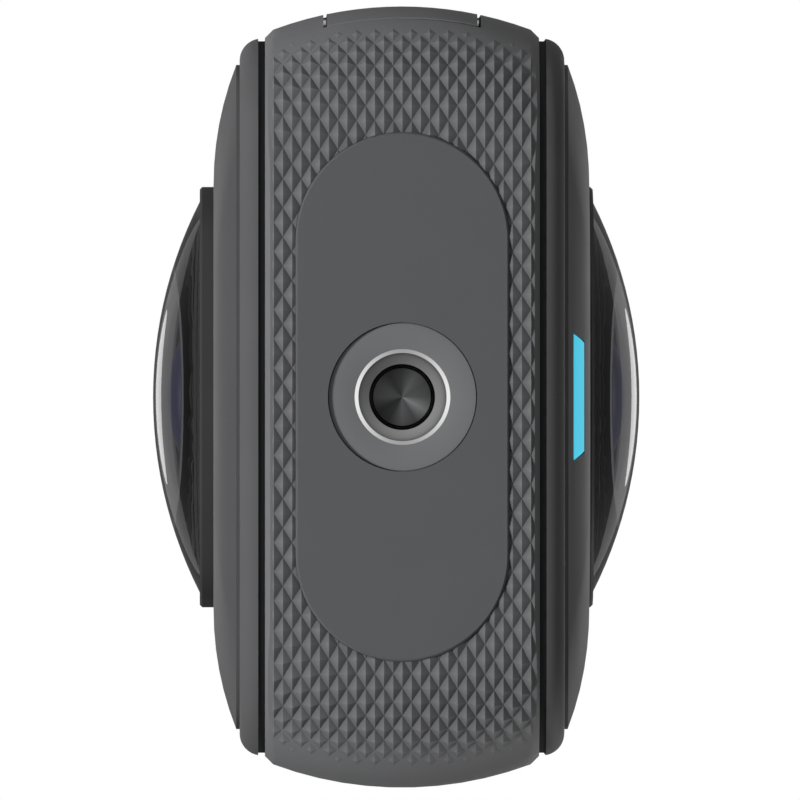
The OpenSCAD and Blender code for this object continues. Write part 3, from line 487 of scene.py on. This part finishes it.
def clear_glass(name, tint, coating):
    """Polished optical glass with a tinted anti-reflection coating and faint smears in its gloss."""
    material = bpy.data.materials.new(name)
    material.use_nodes = True
    nodes, link = material.node_tree.nodes, material.node_tree.links.new
    shader = nodes["Principled BSDF"]
    shader.inputs["Transmission Weight"].default_value = 1
    shader.inputs["IOR"].default_value = 1.5
    shader.inputs["Base Color"].default_value = tint
    shader.inputs["Specular Tint"].default_value = coating
    smears = nodes.new("ShaderNodeGroup")
    smears.node_tree = MOULDED_GRAIN
    smears.inputs["Roughness"].default_value = GLASS_ROUGHNESS
    faint = nodes.new("ShaderNodeMath")
    faint.operation = "MULTIPLY"
    faint.inputs[1].default_value = SMEAR_SHARE
    link(smears.outputs["Roughness"], faint.inputs[0])
    link(faint.outputs[0], shader.inputs["Roughness"])
    return material


optic_glass = clear_glass("optic_glass", tint=(0.75, 0.8, 0.9, 1), coating=(0.3, 0.45, 0.7, 1))
for node in ("front_prism", "rear_prism", "front_relay_lens", "rear_relay_lens"):
    welded(node, optic_glass)

# Electronics inside: green boards with tinned cans and sockets, an aluminium heat spreader behind the
# rear shell, and gold flashed contacts. The port is a steel shell with a black tongue and floor.
TONGUE_HALF = 0.36 * MM
FACING_ALONG = 0.5
solder_mask = moulded("solder_mask", (0.012, 0.07, 0.035, 1), 0.4, mottle=0.5)
for node in ("main_board", "front_sensor_board", "rear_sensor_board", "led_board", "usb_board",
             "power_switch", "shutter_switch"):
    welded(node, solder_mask)
for node in ("shield_can", "card_socket"):
    welded(node, plated_steel)
port = welded("usb_port", plated_steel)
port.data.materials.append(moulded("port_tongue", (0.008, 0.008, 0.008, 1), 0.5))
port_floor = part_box("usb_port")[0].x + TONGUE_HALF
for face in port.data.polygons:
    on_tongue = abs(face.center.y) < TONGUE_HALF and abs(face.normal.x) < FACING_ALONG
    looks_out = face.normal.x < -FACING_ALONG
    if face.center.x > port_floor and (on_tongue or looks_out):
        face.material_index = 1
rolled_sheet = moulded("rolled_sheet", (0.6, 0.6, 0.61, 1), 0.4, metallic=1.0)
welded("heat_spreader", rolled_sheet)
gold_flash = moulded("gold_flash", (0.75, 0.55, 0.22, 1), 0.3, metallic=1.0)
for node in ("battery_pads", "microphones", "antenna"):
    welded(node, gold_flash)
bay_plastic = moulded("bay_plastic", (0.03, 0.03, 0.031, 1), 0.6)
for node in ("battery_bay", "contact_block", "speaker"):
    welded(node, bay_plastic)

# Shells and seals: two moulded half shells close the frame, each on a silicone ring that shows as a black
# groove, and four screws a side hold them.
shell_plastic = moulded("shell_plastic", (0.066, 0.066, 0.068, 1), 0.58, grain_mm=0.12, relief_mm=0.002,
                        mottle=0.15, specular=0.12)
silicone = moulded("silicone", (0.006, 0.006, 0.006, 1), 0.7, mottle=0.2, specular=0.15)
for side in ("front", "rear"):
    welded(side + "_shell", shell_plastic)
    welded(side + "_seal", silicone)
for node in ("usb_door_seal", "battery_seal"):
    welded(node, silicone)

# Covers: satin black mouldings glued on the shells, crowned all round to a flat face with a round hole for
# the lens. The front one also has openings for the screen, the shutter button and the status light.
cover_plastic = moulded("cover_plastic", (0.049, 0.048, 0.05, 1), 0.45, grain_mm=0.1, relief_mm=0.0015,
                        mottle=0.12)
for side in ("front", "rear"):
    welded(side + "_cover", cover_plastic)

# Lenses: each flat black barrel carries a strongly curved element, and a black anodised ring clamps the
# outer glass dome over it. The clear domes cast no shadow on what they cover.
flat_black = moulded("flat_black", (0.006, 0.006, 0.007, 1), 0.75, specular=0.2)
ring_black = moulded("ring_black", (0.034, 0.0335, 0.034, 1), 0.42, grain_mm=0.1, relief_mm=0.001,
                     specular=0.12)
coated_element = moulded("coated_element", (0.006, 0.01, 0.028, 1), 0.05, relief_mm=0.0001, mottle=0.3,
                         specular=0.6)
coated_glass = clear_glass("coated_glass", tint=(0.9, 0.88, 0.92, 1), coating=(0.3, 0.22, 0.34, 1))
for side in ("front", "rear"):
    welded(side + "_lens_barrel", flat_black)
    welded(side + "_lens_element", coated_element)
    welded(side + "_lens_ring", ring_black)
    dome = welded(side + "_lens_dome", coated_glass)
    dome.visible_shadow = False

# Screen, buttons and status light: a round glass over its panel, a dished shutter button below it, a
# power button and a battery latch of the same plastic, and a light guide that comes out of the cover's
# lower edge and glows cyan.
screen_glass = moulded("screen_glass", (0.004, 0.004, 0.005, 1), 0.08, relief_mm=0.0002, mottle=0.1,
                       specular=0.14)
welded("display_glass", screen_glass)
welded("display_panel", flat_black)
button_plastic = moulded("button_plastic", (0.045, 0.045, 0.047, 1), 0.5)
for node in ("shutter_button", "power_button", "battery_latch"):
    welded(node, button_plastic)
light_glow = moulded("light_glow", (0.02, 0.2, 0.27, 1), 0.4)
glow = light_glow.node_tree.nodes["Principled BSDF"]
glow.inputs["Emission Color"].default_value = (0.06, 0.58, 0.79, 1)
glow.inputs["Emission Strength"].default_value = 0.76
welded("light_guide", light_glow)

# Port door and battery: slices of the same barrel in the grip's plastic, flush with the frame. The
# door swings on a steel pin, and the cap is fixed to the battery's case.
welded("usb_door", grip_plastic)
welded("battery_cap", grip_plastic)
battery_case = moulded("battery_case", (0.02, 0.02, 0.021, 1), 0.55)
welded("battery_cell", battery_case)

# Floor: a round pale sheet under the foot that fades out towards its edge. It shows from above only, so
# that the view from below looks straight up at the camera.
FLOOR_RADIUS = 0.25
FLOOR_CLEARANCE = 0.1 * MM
FLOOR_FADE_FROM = 0.2 * FLOOR_RADIUS
FLOOR_FADE_TO = 0.95 * FLOOR_RADIUS
floor_paper = bpy.data.materials.new("floor_paper")
floor_paper.use_nodes = True
nodes, link = floor_paper.node_tree.nodes, floor_paper.node_tree.links.new
paper = nodes["Principled BSDF"]
paper.inputs["Base Color"].default_value = (0.9, 0.9, 0.9, 1)
paper.inputs["Roughness"].default_value = 0.9
paper.inputs["Specular IOR Level"].default_value = 0.1
place = nodes.new("ShaderNodeTexCoord")
reach = nodes.new("ShaderNodeVectorMath")
reach.operation = "LENGTH"
link(place.outputs["Object"], reach.inputs[0])
fade = nodes.new("ShaderNodeMapRange")
fade.inputs["From Min"].default_value = FLOOR_FADE_FROM
fade.inputs["From Max"].default_value = FLOOR_FADE_TO
link(reach.outputs["Value"], fade.inputs["Value"])
sheet_side = nodes.new("ShaderNodeNewGeometry")
hidden_part = nodes.new("ShaderNodeMath")
hidden_part.operation = "MAXIMUM"
link(sheet_side.outputs["Backfacing"], hidden_part.inputs[0])
link(fade.outputs[0], hidden_part.inputs[1])
clear = nodes.new("ShaderNodeBsdfTransparent")
choose = nodes.new("ShaderNodeMixShader")
link(hidden_part.outputs[0], choose.inputs[0])
link(paper.outputs[0], choose.inputs[1])
link(clear.outputs[0], choose.inputs[2])
link(choose.outputs[0], nodes["Material Output"].inputs["Surface"])

bm = bmesh.new()
bmesh.ops.create_circle(bm, cap_ends=True, segments=ROUND_STEPS, radius=FLOOR_RADIUS)
bmesh.ops.translate(bm, verts=bm.verts, vec=(0, 0, -FLOOR_CLEARANCE))
floor = in_scene("floor", bm, floor_paper)
floor.visible_diffuse = False
floor.visible_glossy = False
floor.visible_transmission = False
floor.visible_shadow = False

# Studio: a white surround whose ceiling looks dark in reflections, one soft key low on the rear side, soft
# boxes all round for the other sides, and two faint lamps over each dome for the glints in its glass.
AMBIENT = 0.19
CEILING_DEPTH = 0.9
CEILING_FROM = 0.15
CEILING_TO = 0.55
CENTRE = Vector((0, 0, 0.045))
LAMP_DISTANCE = 0.5
world = bpy.data.worlds.new("white_surround")
bpy.context.scene.world = world
world.use_nodes = True
nodes, link = world.node_tree.nodes, world.node_tree.links.new
ray = nodes.new("ShaderNodeLightPath")
bounced = nodes.new("ShaderNodeMath")
bounced.operation = "MAXIMUM"
link(ray.outputs["Is Glossy Ray"], bounced.inputs[0])
link(ray.outputs["Is Transmission Ray"], bounced.inputs[1])
seen = nodes.new("ShaderNodeMath")
seen.operation = "MAXIMUM"
link(bounced.outputs[0], seen.inputs[0])
link(ray.outputs["Is Camera Ray"], seen.inputs[1])
level = nodes.new("ShaderNodeMapRange")
level.inputs["To Min"].default_value = AMBIENT
link(seen.outputs[0], level.inputs["Value"])
toward = nodes.new("ShaderNodeTexCoord")
axes = nodes.new("ShaderNodeSeparateXYZ")
link(toward.outputs["Generated"], axes.inputs[0])
ceiling = nodes.new("ShaderNodeMapRange")
ceiling.inputs["From Min"].default_value = CEILING_FROM
ceiling.inputs["From Max"].default_value = CEILING_TO
ceiling.inputs["To Max"].default_value = -CEILING_DEPTH
link(axes.outputs["Z"], ceiling.inputs["Value"])
darkened = nodes.new("ShaderNodeMath")
darkened.operation = "MULTIPLY_ADD"
link(ceiling.outputs[0], darkened.inputs[0])
link(bounced.outputs[0], darkened.inputs[1])
link(level.outputs[0], darkened.inputs[2])
surround = nodes["Background"]
surround.inputs["Color"].default_value = (1, 1, 1, 1)
link(darkened.outputs[0], surround.inputs["Strength"])


def soft_box(name, direction, size, level, glossy=True):
    """A round lamp aimed at the camera's middle. Level 1 lights a facing surface to its own colour."""
    lamp = bpy.data.lights.new(name, "AREA")
    lamp.shape = "DISK"
    lamp.size = size
    lamp.energy = level * math.pi ** 2 * LAMP_DISTANCE ** 2
    box = bpy.data.objects.new(name, lamp)
    bpy.context.scene.collection.objects.link(box)
    aim = Vector(direction).normalized()
    aimed = aim.to_track_quat("Z", "Y").to_matrix().to_4x4()
    box.matrix_world = Matrix.Translation(CENTRE + aim * LAMP_DISTANCE) @ aimed
    box.visible_camera = False
    box.visible_transmission = False
    box.visible_glossy = glossy


soft_box("key_low_rear", (0, 0.72, -0.7), size=0.12, level=1.42, glossy=False)
soft_box("box_front", (0.75, -0.6, 0.3), size=0.3, level=0.35)
soft_box("box_left", (-0.95, 0.1, -0.1), size=0.3, level=0.2, glossy=False)
soft_box("box_above", (0.15, -0.4, 0.9), size=0.4, level=1.3, glossy=False)
soft_box("box_high_rear", (-0.3, 0.5, 0.85), size=0.35, level=0.5, glossy=False)
for side, across in (("rear", 1), ("front", -1)):
    soft_box(side + "_dome_glint", (0, 0.31 * across, 0.95), size=0.07, level=0.0055)
    soft_box(side + "_dome_halo", (0, 0.38 * across, 0.92), size=0.17, level=0.0055)

# Camera: below the foot with a very long lens, a hair off the upright axis. The left side of the body is
# up in the picture and the screen faces right.
LENS_MM = 1680
SENSOR_MM = 36
PIXELS = 800
PIXELS_PER_MM = 16.97
FOOT_CENTRE_PX = (402.5, 397)
LEAN = math.radians(0.24)
picture_up = Vector((-1, 0, 0))
away = Vector((0, math.sin(LEAN), -math.cos(LEAN)))
picture_right = picture_up.cross(away)
distance = PIXELS / PIXELS_PER_MM * LENS_MM / SENSOR_MM * MM
offset = picture_right * (PIXELS / 2 - FOOT_CENTRE_PX[0]) + picture_up * (FOOT_CENTRE_PX[1] - PIXELS / 2)
lens = bpy.data.cameras.new("camera")
lens.lens = LENS_MM
lens.sensor_width = SENSOR_MM
lens.clip_start = 0.01
lens.clip_end = 10
viewer = bpy.data.objects.new("camera", lens)
bpy.context.scene.collection.objects.link(viewer)
turn = Matrix((picture_right, picture_up, away)).transposed().to_4x4()
viewer.matrix_world = Matrix.Translation(away * distance + offset / PIXELS_PER_MM * MM) @ turn
bpy.context.scene.camera = viewer
bpy.context.scene.view_settings.view_transform = "Standard"
